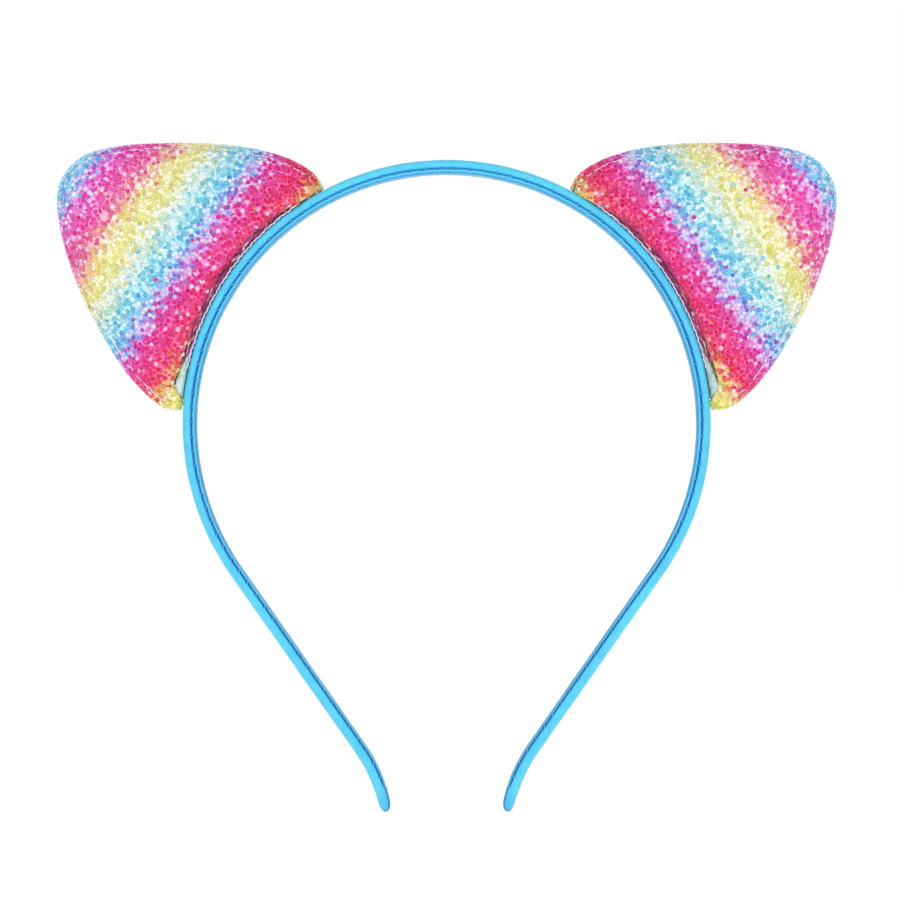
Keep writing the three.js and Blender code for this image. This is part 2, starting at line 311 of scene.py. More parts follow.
def rainbow(s, distance):
    """The stripe colour at a distance from the band in mm, and its pale tint."""
    stops = [((place - RAINBOW_START) / RAINBOW_SPAN, srgb(*colour)) for place, colour in RAINBOW]
    stripe = s.ramp(s.between(distance, RAINBOW_START, RAINBOW_START + RAINBOW_SPAN), stops)
    lighter = s.mix(0.012, stripe, (1, 1, 1, 1))
    return stripe, s.add("Gamma", {"Color": lighter, "Gamma": 0.35}).outputs[0]


BASE_LEAN, STRIPE_LEAN = 0.06, 0.038  # by the band, and from 5 mm off it
STRIPE_BOW, TIP_STRIPE_BOW = 0.0005, 0.005  # up to 20 mm from the band, and past 28 mm


def striped_distance(u, v):
    """Where on the rainbow a point of an ear lies: its stripes lean, and bow more towards the tip."""
    bow = np.interp(v, [20, 28], [STRIPE_BOW, TIP_STRIPE_BOW])
    return v + bow * u * u - u * np.interp(v, [0, 5], [BASE_LEAN, STRIPE_LEAN])


def ground_material():
    """The printed cloth under the glitter: pale stripes with fine glitter dust set in clear film."""
    s = Surface("glitter_ground", Coat_weight=0.05, Coat_roughness=0.12, Specular_ior_level=0.12)
    place = s.kept("ear")[1]
    u, v, _ = s.parts(place)
    wander = s.noise(place, 0.16, 3.0)
    bow = s.between(v, 20, 28, STRIPE_BOW, TIP_STRIPE_BOW)
    lean = s.between(v, 0, 5, -BASE_LEAN, -STRIPE_LEAN)
    distance = s.times_add(s.times(u, u), bow, s.times_add(u, lean, v))
    distance = s.math("ADD", distance, s.between(wander, 0.0, 1.0, -3.0, 3.0))
    cells = s.cells(place, 1.3, "DISTANCE_TO_EDGE")[0]
    dust = s.parts(s.cells(place, 3.2)["Color"])[0]
    stripe, pale = rainbow(s, distance)
    colour = s.tint(stripe, pale, cells, 0.02, 0.2, 0.9, 0.25)
    colour = s.tint(colour, pale, dust, 0.8, 0.95, 0.0, 0.7)
    # Painted shade along the band, where the ear's edge turns under
    colour = s.mix(s.kept("shadowed")[0], colour, srgb(126, 38, 86))
    s.feed("Base Color", colour)
    s.feed("Roughness", s.between(dust, 0.0, 1.0, 0.2, 0.5))
    s.bump(s.times_add(dust, 0.4, cells), 0.6, 0.12)
    return s.material


def sequin_material():
    """Round tinted glitter. 'flake' holds the stripe distance, a random number, and 0 in the middle of a disc
    to 1 on its rim; 'clear' is how colourless the disc is."""
    s = Surface("rainbow_glitter", Coat_weight=0.05, Coat_roughness=0.08, Specular_ior_level=0.07)
    distance, chance, rim = s.parts(s.kept("flake")[1])
    clear = s.kept("clear")[0]
    stripe, pale = rainbow(s, distance)
    hue = s.mix(s.times(clear, 0.92), stripe, s.mix(0.4, (0.92, 0.93, 0.94, 1), pale))
    shade = s.math("FRACT", s.times(chance, 17.3))
    colour = s.tint(hue, s.multiply(hue, hue), shade, 0.0, 0.55, 0.55, 0.0)
    colour = s.tint(colour, pale, shade, 0.75, 1.0, 0.0, 0.2)
    greys = ((0.0, 0.0), (0.4, 0.15), (0.68, 1.0), (0.82, 0.9), (0.9, 0.0))
    ring = s.ramp(rim, [(at, (grey, grey, grey, 1)) for at, grey in greys])
    darker = s.multiply(s.multiply(colour, hue), (0.74, 0.72, 0.82, 1))
    darker = s.mix(s.times(clear, 0.8), darker, s.multiply(colour, (0.5, 0.53, 0.6, 1)))
    colour = s.mix(s.times(ring, 0.8), colour, darker)
    colour = s.tint(colour, pale, rim, 0.0, 0.45, 0.05, 0.0)
    colour = s.mix(s.times(s.between(rim, 0.87, 0.94), s.times_add(clear, -0.5, 0.85)), colour, pale)
    # Dark discs: a few smoky ones at random, and near the seat as painted shade
    smoky_or_shaded = s.between(chance, 0.984, 0.985)
    colour = s.mix(s.times(smoky_or_shaded, 0.6), colour, s.mix(0.4, (0.09, 0.07, 0.1, 1), stripe))
    s.feed("Base Color", colour)
    s.feed("Roughness", s.between(shade, 0.0, 1.0, 0.1, 0.32))
    s.bump(s.noise(s.own_place(), 2600.0, 2.0), 0.25, 0.05)
    return s.material


def shaded_hem_material():
    """The edge of the glitter cloth where it turns under, in painted shade: dark, with a few pale flakes as
    painted glints.
    """
    s = Surface("hem_in_painted_shade", Specular_ior_level=0.3)
    drawn_out = s.stretched(s.kept("run")[1], (0.8, 2.6, 1.6))
    flecks = s.cells(drawn_out, 1.0)
    value = s.parts(flecks["Color"])[0]
    # Painted shade, with pale flecks as painted glints
    stops = [(0.0, (80, 34, 68)), (0.3, (124, 46, 92)), (0.5, (164, 66, 116)), (0.66, (104, 46, 82)),
             (0.8, (200, 130, 168)), (0.92, (236, 208, 224))]
    colour = s.ramp(value, [(at, srgb(*shade)) for at, shade in stops], "CONSTANT")
    s.feed("Base Color", s.tint(colour, srgb(108, 46, 84), s.noise(drawn_out, 0.6, 3.0), 0.3, 0.7, 0.1, 0.6))
    s.feed("Roughness", s.between(value, 0.0, 1.0, 0.7, 0.3))
    s.bump(flecks["Distance"], 0.5, 0.1)
    return s.material


SATIN = satin("satin_cover", srgb(72, 204, 232), srgb(38, 164, 208), srgb(140, 228, 242), 0.25, 0.65, 0.0)
LINING = satin("satin_lining", srgb(30, 156, 202), srgb(12, 122, 180), srgb(84, 190, 224), 0.75, 0.3, 0.8)
CORE = plain("band_core_plastic", srgb(96, 176, 220), srgb(70, 150, 204), 260, 0.45, 0.01)
THREAD = plain("seam_thread", srgb(72, 188, 236), srgb(40, 150, 212), 2600, 0.55, 0.04, Sheen_weight=0.2)
GROUND = ground_material()
GLITTER = sequin_material()
FELT = plain("white_felt", srgb(238, 222, 238), srgb(196, 176, 200), 900, 0.85, 0.08, Sheen_weight=0.5)
SHADED_HEM = shaded_hem_material()
GLUE = plain("hot_melt_glue", srgb(204, 230, 230), srgb(150, 180, 158), 420, 0.25, 0.02,
             Transmission_weight=0.3, Coat_weight=0.3)
FIBRE = plain("polyester_fill", srgb(246, 244, 240), srgb(220, 216, 214), 1400, 0.95, 0.3, Sheen_weight=0.4)
EDGE_THREAD = plain("rim_thread", srgb(250, 206, 226), srgb(226, 150, 190), 1800, 0.5, 0.05,
                    Sheen_weight=0.3)


# ---------------------------------------------------------------- the hoop

def hoop_frames(lengths):
    """Mid-line points and outward directions, across and up, at lengths from the top along one half."""
    points, normals = [], []
    outward = np.array([math.sin(CROWN_END), math.cos(CROWN_END)])
    down = np.array([math.cos(CROWN_END), -math.sin(CROWN_END)])
    leg_top = np.array([0, CENTRE_Z]) + MID_RADIUS * outward
    turn_centre = leg_top + LEG_LENGTH * down + TIP_RADIUS * outward
    for s in lengths:
        if s <= CROWN_LENGTH:
            angle = s / MID_RADIUS
            normal = np.array([math.sin(angle), math.cos(angle)])
            point = np.array([0, CENTRE_Z]) + MID_RADIUS * normal
        elif s <= TIP_START:
            normal = outward
            point = leg_top + (s - CROWN_LENGTH) * down
        else:
            turn = (s - TIP_START) / TIP_RADIUS
            normal = np.array([
                outward[0] * math.cos(turn) - outward[1] * math.sin(turn),
                outward[0] * math.sin(turn) + outward[1] * math.cos(turn),
            ])
            point = turn_centre - TIP_RADIUS * normal
        points.append(point)
        normals.append(normal)
    return np.array(points), np.array(normals)


def narrowed(z):
    """0 above the narrowing stretch of the legs, 1 at the tips."""
    return np.clip((LEG_TOP - z) / (LEG_TOP - LOWEST), 0, 1)


def half_depth(z):
    return 3.5 - narrowed(z)


def half_thickness(z):
    return 1.64 - 0.2 * narrowed(z)


def seam_offset(s, half):
    """How far out from the mid-line the seam runs: it nears the inner face down the legs."""
    share = np.interp(s, [0, 90, 124, 150, 205], [0.38, 0.355, 0.29, 0.2, 0.15])
    return half * (2 * share - 1)


def open_seam(s):
    """1 where the seam is open, falling to 0 near a tip."""
    return np.clip((SEAM_END + 0.6 - s) / 1.4, 0, 1)


def rounded_path(corners, directions, radii, arcs, runs):
    """Paths through square corners with rounded arcs, one path per ring. corners are arrays of (rings, 2)."""
    path = [corners[0]]
    for i in range(1, len(corners) - 1):
        before, after = -np.array(directions[i - 1]), np.array(directions[i])
        radius = radii[i - 1][:, None]
        centre = corners[i] + radius * (before + after)
        start = centre - radius * after
        last = path[-1]
        for k in range(1, runs[i - 1] + 1):
            path.append(last + (start - last) * k / (runs[i - 1] + 1))
        for k in range(arcs + 1):
            turn = math.pi / 2 * k / arcs
            path.append(centre - radius * (math.cos(turn) * after + math.sin(turn) * before))
    last = path[-1]
    for k in range(1, runs[-1] + 1):
        path.append(last + (corners[-1] - last) * k / (runs[-1] + 1))
    path.append(corners[-1])
    return np.stack(path, 1)


def ring_lengths():
    """Where the band's rings lie: close together round each stitch and at the tip."""
    steps = np.array([0.0, 0.7, 1.15, 1.45, 1.75, 2.05, 2.35, 2.8])
    count = int((HOOP_LENGTH - TIP_ROUND) / STITCH) + 1
    lengths = (np.arange(count)[:, None] * STITCH + steps).ravel()
    lengths = lengths[lengths < HOOP_LENGTH - TIP_ROUND - 0.1]
    cap = HOOP_LENGTH - TIP_ROUND * (1 - np.sin(np.linspace(0, math.radians(80), 9)))
    return np.concatenate([lengths, cap])


def shaped(path, s, half, depth, seam, outer):
    """Crowns the faces of the fabric, puckers it at the seam's stitches and rounds it over at the tip."""
    path = path.copy()
    o, y = path[..., 0], path[..., 1]
    s, half, depth, seam = (a[:, None] for a in (s, half, depth, seam))
    front = np.clip((np.abs(y) - depth + 0.7) / 0.7, 0, 1)
    way, edge, crowned, puffed = (1, 0.7, 0.04, 0.16) if outer else (-1, 0.5, 0.05, 0.2)
    middle, width = (seam + way * half) / 2, (half - way * seam) / 2
    face = np.clip((way * o - half + edge) / edge, 0, 1)
    path[..., 0] = o + way * crowned * face * np.clip(1 - (y / depth) ** 2, 0, 1)
    bulge = puffed * np.clip(1 - ((o - middle) / width) ** 2, 0, 1) * front
    phase = s % STITCH - STITCH / 2
    near = np.exp(-(((o - seam) / 0.42) ** 2)) * front * open_seam(s)
    stitch = np.exp(-((phase / 0.45) ** 2))
    puff = 0.5 + 0.5 * np.cos(2 * math.pi * s / STITCH)
    bulge = bulge + near * (0.07 * puff - 0.16 * stitch)
    path[..., 1] = y + np.sign(y) * bulge
    return rounded_tip(path, s)


def rounded_tip(path, s):
    """Narrows the outer side towards the tip and rounds its end."""
    drawn = 1 - 0.16 * np.clip((s - (HOOP_LENGTH - TIP_TAPER)) / TIP_TAPER, 0, 1)
    end = np.clip((s - (HOOP_LENGTH - TIP_ROUND)) / TIP_ROUND, 0, 1)
    path[..., 0] *= np.where(path[..., 0] > 0, drawn, 1) * np.sqrt(1 - end**2)
    path[..., 1] *= 1 - 0.55 * (1 - np.sqrt(1 - end**2))
    return path


def band_fabric(outer, s):
    """The ring-by-ring outline of the cover (outer) or the lining: its face, then its underside."""
    points, _ = hoop_frames(s)
    half, depth = half_thickness(points[:, 1]), half_depth(points[:, 1])
    seam = seam_offset(s, half)
    opened = open_seam(s)
    slit = 0.005 + 0.02 * opened
    pair = lambda a, b: np.stack([a + 0 * s, b + 0 * s], 1)
    way = 1 if outer else -1
    edge = seam + way * slit
    far = way * half
    room = np.abs(far - edge)
    roll = (0.05 + 0.35 * opened) if outer else (0.05 + 0.25 * opened)
    roll = np.minimum(roll, room * 0.45)
    corner = np.minimum(0.85 if outer else 0.5, room * 0.5)
    lift = 0.0 if outer else 0.05
    layers = []
    for inset, arcs, runs in ((0.0, 5, (2, 3, 7, 3, 2)), (FABRIC, 2, (1, 1, 3, 1, 1))):
        near, last = edge + way * inset, far - way * inset
        front = depth - lift - inset
        low = depth - GROOVE_DEPTH
        corners = [pair(near, -low), pair(near, -front), pair(last, -front), pair(last, front),
                   pair(near, front), pair(near, low)]
        directions = [(0, -1), (way, 0), (0, 1), (-way, 0), (0, -1)]
        radii = [np.maximum(r - inset, 0.02) for r in (roll, corner, corner, roll)]
        path = rounded_path(corners, directions, radii, arcs, runs)
        layers.append(shaped(path, s, half, depth, seam, outer) if inset == 0 else
                      rounded_tip(path, s[:, None]))
    return layers


def placed(s, sections, sign):
    """Section points (rings, points, 2) of offset and depth, in the model's place."""
    points, normals = hoop_frames(s)
    across = points[:, None, 0] + sections[..., 0] * normals[:, None, 0]
    up = points[:, None, 1] + sections[..., 0] * normals[:, None, 1]
    return np.stack([sign * across, sections[..., 1], up], -1)


def fasten(ob, side, sign, slot, *stands_for):
    """Bakes a piece of the band, or of an ear glued to it, into its place.
    Also hides the nodes of the model that it stands for; the material slot it is given is not used."""
    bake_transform(ob)
    if stands_for:
        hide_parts(*stands_for)


def swept(name, s, sections, sign, material, face_points):
    """A closed piece of the band, one half long. The first face_points of each section are its outer face."""
    placed_points = placed(s, sections, sign)
    rings, sides = placed_points.shape[:2]
    # The cap at the top has points of its own, so that the wall's shading stays even
    points = np.vstack([placed_points.reshape(-1, 3), placed_points[0]])
    faces = tube_faces(rings, sides)
    faces += cap_faces(placed_points[-1], (rings - 1) * sides)
    faces += cap_faces(placed_points[0], rings * sides)
    ob = new_object(name, points, faces, material)
    steps = np.linalg.norm(np.diff(sections, axis=1, prepend=sections[:, :1]), axis=2)
    girth = np.cumsum(steps, axis=1)
    along = np.broadcast_to(s[:, None], girth.shape)
    from_seam = np.minimum(girth, np.abs(girth[:, face_points - 1:face_points] - girth))
    woven = np.stack([along, girth, from_seam], -1)
    keep(ob, "weave", np.vstack([woven.reshape(-1, 3), woven[0]]))
    return ob


def soften(ob, strength, size, seed):
    """Small unevenness of hand-wrapped fabric, none of it on the middle line."""
    points = np.array([v.co[:] for v in ob.data.vertices])
    for p in points:
        fade = min(1, abs(p[0]) / (4 * MM))
        q = Vector(p) / (size * MM) + Vector((seed, 0, seed * 2))
        p += np.array(noise.noise_vector(q)) * strength * MM * fade
    ob.data.vertices.foreach_set("co", points.ravel())


def smooth_path(points, steps):
    """A Catmull-Rom curve through points."""
    points = np.asarray(points, float)
    padded = np.vstack([2 * points[0] - points[1], points, 2 * points[-1] - points[-2]])
    made = []
    for i in range(1, len(padded) - 2):
        a, b, c, d = padded[i - 1:i + 3]
        for k in range(steps):
            t = k / steps
            made.append(0.5 * (2 * b + (c - a) * t + (2 * a - 5 * b + 4 * c - d) * t * t
                               + (3 * b - a - 3 * c + d) * t**3))
    made.append(points[-1])
    return np.array(made)


def tube_along(name, centre, radius, material, helper=(0, 1, 0), sides=6):
    """A closed tube along points. Its first side lies towards the helper direction."""
    helper = np.array(helper, float)
    along = np.gradient(centre, axis=0)
    along /= np.linalg.norm(along, axis=1)[:, None]
    first = helper - along * np.sum(helper * along, 1)[:, None]
    first /= np.linalg.norm(first, axis=1)[:, None]
    second = np.cross(along, first)
    turns = (np.arange(sides) * 2 * math.pi / sides)[:, None]
    rings = centre[:, None] + radius * (first[:, None] * np.cos(turns) + second[:, None] * np.sin(turns))
    return new_object(name, rings.reshape(-1, 3), closed_tube(len(centre), sides), material)


def seam_thread(name, sign, face):
    """Lockstitches: the thread runs along the bottom of the seam and crosses it at each stitch."""
    keys = [(0.0, 0.0, -0.5)]  # length, offset from the seam, depth from the band's edge
    for stop in np.arange(STITCH / 2, SEAM_END - 0.4, STITCH):
        keys += [(stop - 1.15, 0.0, -0.52), (stop - 0.55, -0.2, -0.12), (stop - 0.25, -0.2, 0.03),
                 (stop + 0.25, 0.24, 0.05), (stop + 0.5, 0.27, -0.14), (stop + 0.95, 0.05, -0.52)]
    s, offset, depth = smooth_path(keys, 3).T
    mids, normals = hoop_frames(s)
    offset = offset + seam_offset(s, half_thickness(mids[:, 1]))
    section = np.stack([offset, face * (half_depth(mids[:, 1]) + depth)], 1)
    outward = np.stack([sign * normals[:, 0], 0 * s, normals[:, 1]], 1)
    return tube_along(name, placed(s, section[:, None], sign)[:, 0], 0.12, THREAD, outward)


def blunt(values, power):
    """Sines or cosines drawn towards 1 and -1, for a rounded box instead of an ellipse."""
    return np.sign(values) * np.abs(values) ** power


def band_half(side, sign):
    s = ring_lengths()
    for outer, part, material in ((True, "cover", SATIN), (False, "lining", LINING)):
        face, under = band_fabric(outer, s)
        sections = np.concatenate([face, under[:, ::-1]], 1)
        ob = swept(f"{side}_band_{part}", s, sections, sign, material, face.shape[1])
        soften(ob, 0.05, 5.0, 3 if outer else 11)
        fasten(ob, side, sign, f"satin_{part}", f"band_{part}_{side}", f"band_{part}_crown")
    s = np.concatenate([np.arange(0, HOOP_LENGTH - 2.4, 1.4), HOOP_LENGTH - np.array([2.0, 1.4, 0.9, 0.6])])
    z = hoop_frames(s)[0][:, 1:]
    turns = np.linspace(0, 2 * math.pi, 16, endpoint=False)
    section = np.stack([(half_thickness(z) - 0.5) * blunt(np.cos(turns), 0.5),
                        (half_depth(z) - 0.85) * blunt(np.sin(turns), 0.5)], -1)
    core = swept(f"{side}_band_core", s, section, sign, CORE, len(turns))
    fasten(core, side, sign, "band_core_plastic", f"band_core_{side}", "band_core_crown")
    for face, word in ((-1, "front"), (1, "rear")):
        thread = seam_thread(f"{side}_{word}_seam_thread", sign, face)
        fasten(thread, side, sign, "seam_thread", f"{word}_seam_thread_{side}", f"{word}_seam_thread_crown")


# ---------------------------------------------------------------- the ears

def ear_outline():
    """The rim from the lower corner over the tip to the upper corner, fuller on the tip's upper side."""
    tip_radius, tip_angle, tip_centre = 12.5, math.radians(44), 33.4
    wide, low, corner, start = 33.2, -2.5, 8.0, -41.0
    tip_end = np.array([tip_radius * math.sin(tip_angle), tip_centre + tip_radius * math.cos(tip_angle)])
    pull = tip_end + 15 * np.array([math.cos(tip_angle), -math.sin(tip_angle)])
    right = []
    for k in range(9):  # the lower corner, from the seat up
        turn = math.radians(start * (1 - k / 8))
        right.append((wide - corner + corner * math.cos(turn), low + corner * math.sin(turn)))
    a, b, c, d = (np.array(p) for p in ((wide, low), (wide, low + 14.5), pull, tip_end))
    for t in np.arange(1, 31) / 30:
        right.append(tuple(a * (1 - t)**3 + 3 * b * t * (1 - t)**2 + 3 * c * t * t * (1 - t) + d * t**3))
    for k in range(1, 9):
        turn = tip_angle * (1 - k / 8)
        right.append((tip_radius * math.sin(turn), tip_centre + tip_radius * math.cos(turn)))
    right = np.array(right)
    line = np.vstack([right, right[:-1][::-1] * (-1, 1)])
    way = line - (0, 12)
    turn = np.degrees(np.arctan2(way[:, 1], way[:, 0])) % 360
    turn = np.where(turn > 270, turn - 360, turn)

    def bump(at, width):
        return np.exp(-(((turn - at) / width) ** 2))

    fuller = 0.28 + 0.7 * bump(112, 20) + 0.35 * bump(-26, 9) - 0.3 * bump(10, 16)
    fuller -= 0.38 * bump(209, 9) + 0.35 * bump(76, 7)
    return line + way / np.linalg.norm(way, axis=1)[:, None] * fuller[:, None]


def resampled(points, spacing):
    """The same open line with evenly spaced points."""
    lengths = np.concatenate([[0], np.cumsum(np.linalg.norm(np.diff(points, axis=0), axis=1))])
    at = np.linspace(0, lengths[-1], int(round(lengths[-1] / spacing)) + 1)
    return np.stack([np.interp(at, lengths, points[:, i]) for i in range(points.shape[1])], 1)


def rim_line(inset, spacing):
    """The rim, moved towards the middle of the ear."""
    line = ear_outline()
    step = np.gradient(line, axis=0)
    inward = np.stack([-step[:, 1], step[:, 0]], 1)
    return resampled(line + inward / np.linalg.norm(inward, axis=1)[:, None] * inset, spacing)


def seat_line(spacing):
    """The ear's lower edge: an arc about the hoop's centre, from the upper corner to the lower one."""
    end = math.radians(SEAT_HALF)
    angles = np.linspace(-end, end, 60)
    stops = [-SEAT_HALF, -26, -22, -18, -12, 12, 17, 22, 25.2, 26.3, 27.3, SEAT_HALF]
    lift = np.interp(np.degrees(angles), stops,
                     [-1.1, -1.1, -0.85, -0.15, 0.3, 0.3, 0.5, 1.1, 1.5, 0.7, -0.95, -1.1])
    radius = SEAT_RADIUS + lift
    return resampled(np.stack([radius * np.sin(angles), radius * np.cos(angles) - OUTER_RADIUS], 1), spacing)


def seat_spread(u):
    """How far the seat's front edge lies from the middle plane: nothing at the corners, 3.9 mm between."""
    return 3.9 * np.clip((31.8 - np.abs(u)) / 7, 0, 1) ** 0.6


def within(p, ring):
    """True if a point lies inside a closed ring."""
    x, y = p
    a, b = ring, np.roll(ring, -1, 0)
    crosses = (a[:, 1] > y) != (b[:, 1] > y)
    dy = np.where(b[:, 1] == a[:, 1], 1e-9, b[:, 1] - a[:, 1])
    at = a[:, 0] + (y - a[:, 1]) / dy * (b[:, 0] - a[:, 0])
    return bool(np.sum(crosses & (x < at)) % 2)


def gaps(points, line):
    """Each point's distance from the nearest point of a line."""
    return np.array([np.min(np.linalg.norm(line - p, axis=1)) for p in points])


def flat_ear():
    """The cut of one panel: points across and outward, its triangles, and which points are sewn down."""
    rim, seat = rim_line(RIM_INSET, SPREAD), seat_line(SPREAD)
    border = np.vstack([rim, seat[1:-1]])
    count = len(border)
    rows = np.array([(u, v) for j, v in enumerate(np.arange(-12, 48, SPREAD * math.sqrt(3) / 2))
                     for u in np.arange(-36, 36, SPREAD) + (j % 2) * SPREAD / 2])
    inside = [p for p, gap in zip(rows, gaps(rows, border)) if gap > SPREAD * 0.6 and within(p, border)]
    edges = [(i, (i + 1) % count) for i in range(count)]
    result = geometry.delaunay_2d_cdt([Vector(p) for p in np.vstack([border, inside])], edges, [], 1, 1e-6)
    sewn = np.array([any(k < count for k in sources) for sources in result[3]])
    sewn_seat = np.array([any(len(rim) <= k < count for k in sources) for sources in result[3]])
    return np.array([tuple(p) for p in result[0]]), [tuple(f) for f in result[2]], sewn, sewn_seat


def rim_gap(points):
    """Each point's distance from the sewn edge, in mm."""
    return gaps(points, np.vstack([rim_line(RIM_INSET, 0.5), seat_line(0.5)]))


def inflated(points, triangles, sewn, sewn_seat):
    """One panel blown up over its filling by cloth simulation, worked larger than life: each point's depth,
    and its place across and outward."""
    start = SEWN_DEPTH + 2.6 * np.sin(np.clip(rim_gap(points) / 12, 0, 1) * math.pi / 2)
    start[sewn] = SEWN_DEPTH
    start[sewn_seat] = np.maximum(SEWN_DEPTH, seat_spread(points[sewn_seat, 0]))
    seat_v = np.sqrt(np.maximum(SEAT_RADIUS**2 - points[:, 0]**2, 1)) - OUTER_RADIUS
    near_seat = np.exp(-(np.maximum(points[:, 1] - seat_v, 0) / 6) ** 2)
    start = np.where(sewn, start, np.maximum(start, near_seat * seat_spread(points[:, 0])))
    mesh = bpy.data.meshes.new("ear_cloth")
    grown = np.stack([points[:, 0], -start, points[:, 1]], 1) * MM * CLOTH_SCALE
    mesh.from_pydata([tuple(p) for p in grown], [], triangles)
    cloth = bpy.data.objects.new("ear_cloth", mesh)
    scene.collection.objects.link(cloth)
    pins = cloth.vertex_groups.new(name="sewn")
    pins.add([int(i) for i in np.nonzero(sewn)[0]], 1.0, "REPLACE")
    bm = bmesh.new()
    bm.from_mesh(mesh)
    bmesh.ops.recalc_face_normals(bm, faces=bm.faces)
    bm.faces.ensure_lookup_table()
    if sum(f.normal.y for f in bm.faces) > 0:  # the filling pushes along the normals, to the front
        bmesh.ops.reverse_faces(bm, faces=bm.faces)
    bm.to_mesh(mesh)
    bm.free()
    modifier = cloth.modifiers.new("cloth", "CLOTH")
    settings = modifier.settings
    settings.quality = 6
    settings.mass = 0.3
    settings.tension_stiffness = settings.compression_stiffness = 12
    settings.shear_stiffness = 4
    settings.bending_stiffness = 1.5
    settings.use_pressure = True
    settings.uniform_pressure_force = 4
    settings.vertex_group_mass = "sewn"
    settings.effector_weights.gravity = 0
    modifier.point_cache.frame_start, modifier.point_cache.frame_end = 1, CLOTH_FRAMES
    for f in range(1, CLOTH_FRAMES + 1):
        scene.frame_set(f)
    shaped_mesh = bpy.data.meshes.new_from_object(cloth.evaluated_get(bpy.context.evaluated_depsgraph_get()))
    u, y, v = np.array([p.co[:] for p in shaped_mesh.vertices]).T / (MM * CLOTH_SCALE)
    scene.frame_set(1)
    bpy.data.objects.remove(cloth)
    bpy.data.meshes.remove(shaped_mesh)
    return -y, np.stack([u, v], 1)


def ear_cloth():
    """The panel's points (across, outward, depth) and triangles. A full filling caps its swelling."""
    points, triangles, sewn, sewn_seat = flat_ear()
    depth, moved = inflated(points, triangles, sewn, sewn_seat)
    swell = np.tanh(1.7 * depth / depth.max()) / math.tanh(1.7) * EAR_DEPTH
    shift = np.clip(moved - points, -1.2, 1.2) * (~sewn)[:, None]
    return np.column_stack([points + shift, np.where(sewn, depth, swell)]), triangles


def ear_world(points, sign):
    """Ear points (across, outward, depth) in the model's place; the front has the lower Y."""
    u, v, y = np.asarray(points, float).T
    out = OUTER_RADIUS + v
    x = out * math.sin(EAR_AXIS) + u * math.cos(EAR_AXIS)
    z = CENTRE_Z + out * math.cos(EAR_AXIS) - u * math.sin(EAR_AXIS)
    return np.stack([sign * x, y, z], 1)


def ear_place(points, sign):
    """The reverse of ear_world."""
    x, y, z = np.asarray(points, float).T
    x, z = x * sign, z - CENTRE_Z
    v = x * math.sin(EAR_AXIS) + z * math.cos(EAR_AXIS) - OUTER_RADIUS
    u = x * math.cos(EAR_AXIS) - z * math.sin(EAR_AXIS)
    return np.stack([u, v, y], 1)


def refined(points, triangles):
    """The cloth after one step of subdivision."""
    mesh = bpy.data.meshes.new("panel")
    mesh.from_pydata([tuple(p) for p in points], [], triangles)
    ob = bpy.data.objects.new("panel", mesh)
    scene.collection.objects.link(ob)
    ob.modifiers.new("smooth", "SUBSURF").levels = 1
    made = bpy.data.meshes.new_from_object(ob.evaluated_get(bpy.context.evaluated_depsgraph_get()))
    co = np.array([v.co[:] for v in made.vertices])
    faces = [tuple(p.vertices) for p in made.polygons]
    bpy.data.objects.remove(ob)
    bpy.data.meshes.remove(made)
    return co, faces


def vertex_normals(points, faces, outward):
    mesh = bpy.data.meshes.new("normals")
    mesh.from_pydata([tuple(p) for p in points], [], faces)
    mesh.update()
    normals = np.array([v.normal[:] for v in mesh.vertices])
    bpy.data.meshes.remove(mesh)
    return normals if np.sum(normals @ np.array(outward)) >= 0 else -normals


def closed_pair(faces, count):
    """The faces of a closed body: a sheet, its twin whose points come count later, and the edge between."""
    edges = {(a, b): None for f in faces for a, b in zip(f, f[1:] + f[:1])}
    made = faces + [tuple(i + count for i in f[::-1]) for f in faces]
    return made + [(b, a, a + count, b + count) for a, b in edges if (b, a) not in edges]


def roughened(points, normals, strength, size, seed):
    """Uneven filling under the cloth."""
    lift = np.array([noise.noise(Vector(p) / size + Vector((seed, seed, seed))) for p in points])
    return points + normals * (lift * strength)[:, None]


def spaced(points, faces, normals, glitter):
    """Places for glitter on a surface, no two closer than its spacing: (point, normal) arrays."""
    spacing, tries = glitter["spacing"], glitter["tries"]
    triangles = np.array([(f[0], f[k], f[k + 1]) for f in faces for k in range(1, len(f) - 1)])
    a, b, c = (points[triangles[:, i]] for i in range(3))
    areas = np.linalg.norm(np.cross(b - a, c - a), axis=1) / 2
    pick = rng.choice(len(triangles), tries, p=areas / areas.sum())
    r1, r2 = np.sqrt(rng.random(tries)), rng.random(tries)
    weights = np.stack([1 - r1, r1 * (1 - r2), r1 * r2], 1)
    places = np.einsum("ij,ijk->ik", weights, points[triangles[pick]])
    ways = np.einsum("ij,ijk->ik", weights, normals[triangles[pick]])
    ways /= np.linalg.norm(ways, axis=1)[:, None]
    grid, kept = {}, []
    for i, p in enumerate(places):
        x, y, z = (int(k) for k in np.floor(p / spacing))
        steps = product((-1, 0, 1), repeat=3)
        near = [places[k] - p for dx, dy, dz in steps for k in grid.get((x + dx, y + dy, z + dz), ())]
        if all(d @ d >= spacing * spacing for d in near):
            grid.setdefault((x, y, z), []).append(i)
            kept.append(i)
    return places[kept], ways[kept]


def clear_of_edge(places, ways, sign):
    """Drops the places whose discs would stick out past the panel's edge."""
    kept = rim_gap(ear_place(places, sign)[:, :2]) > 0.2
    return places[kept], ways[kept]


def unit(vector):
    return vector / np.linalg.norm(vector)


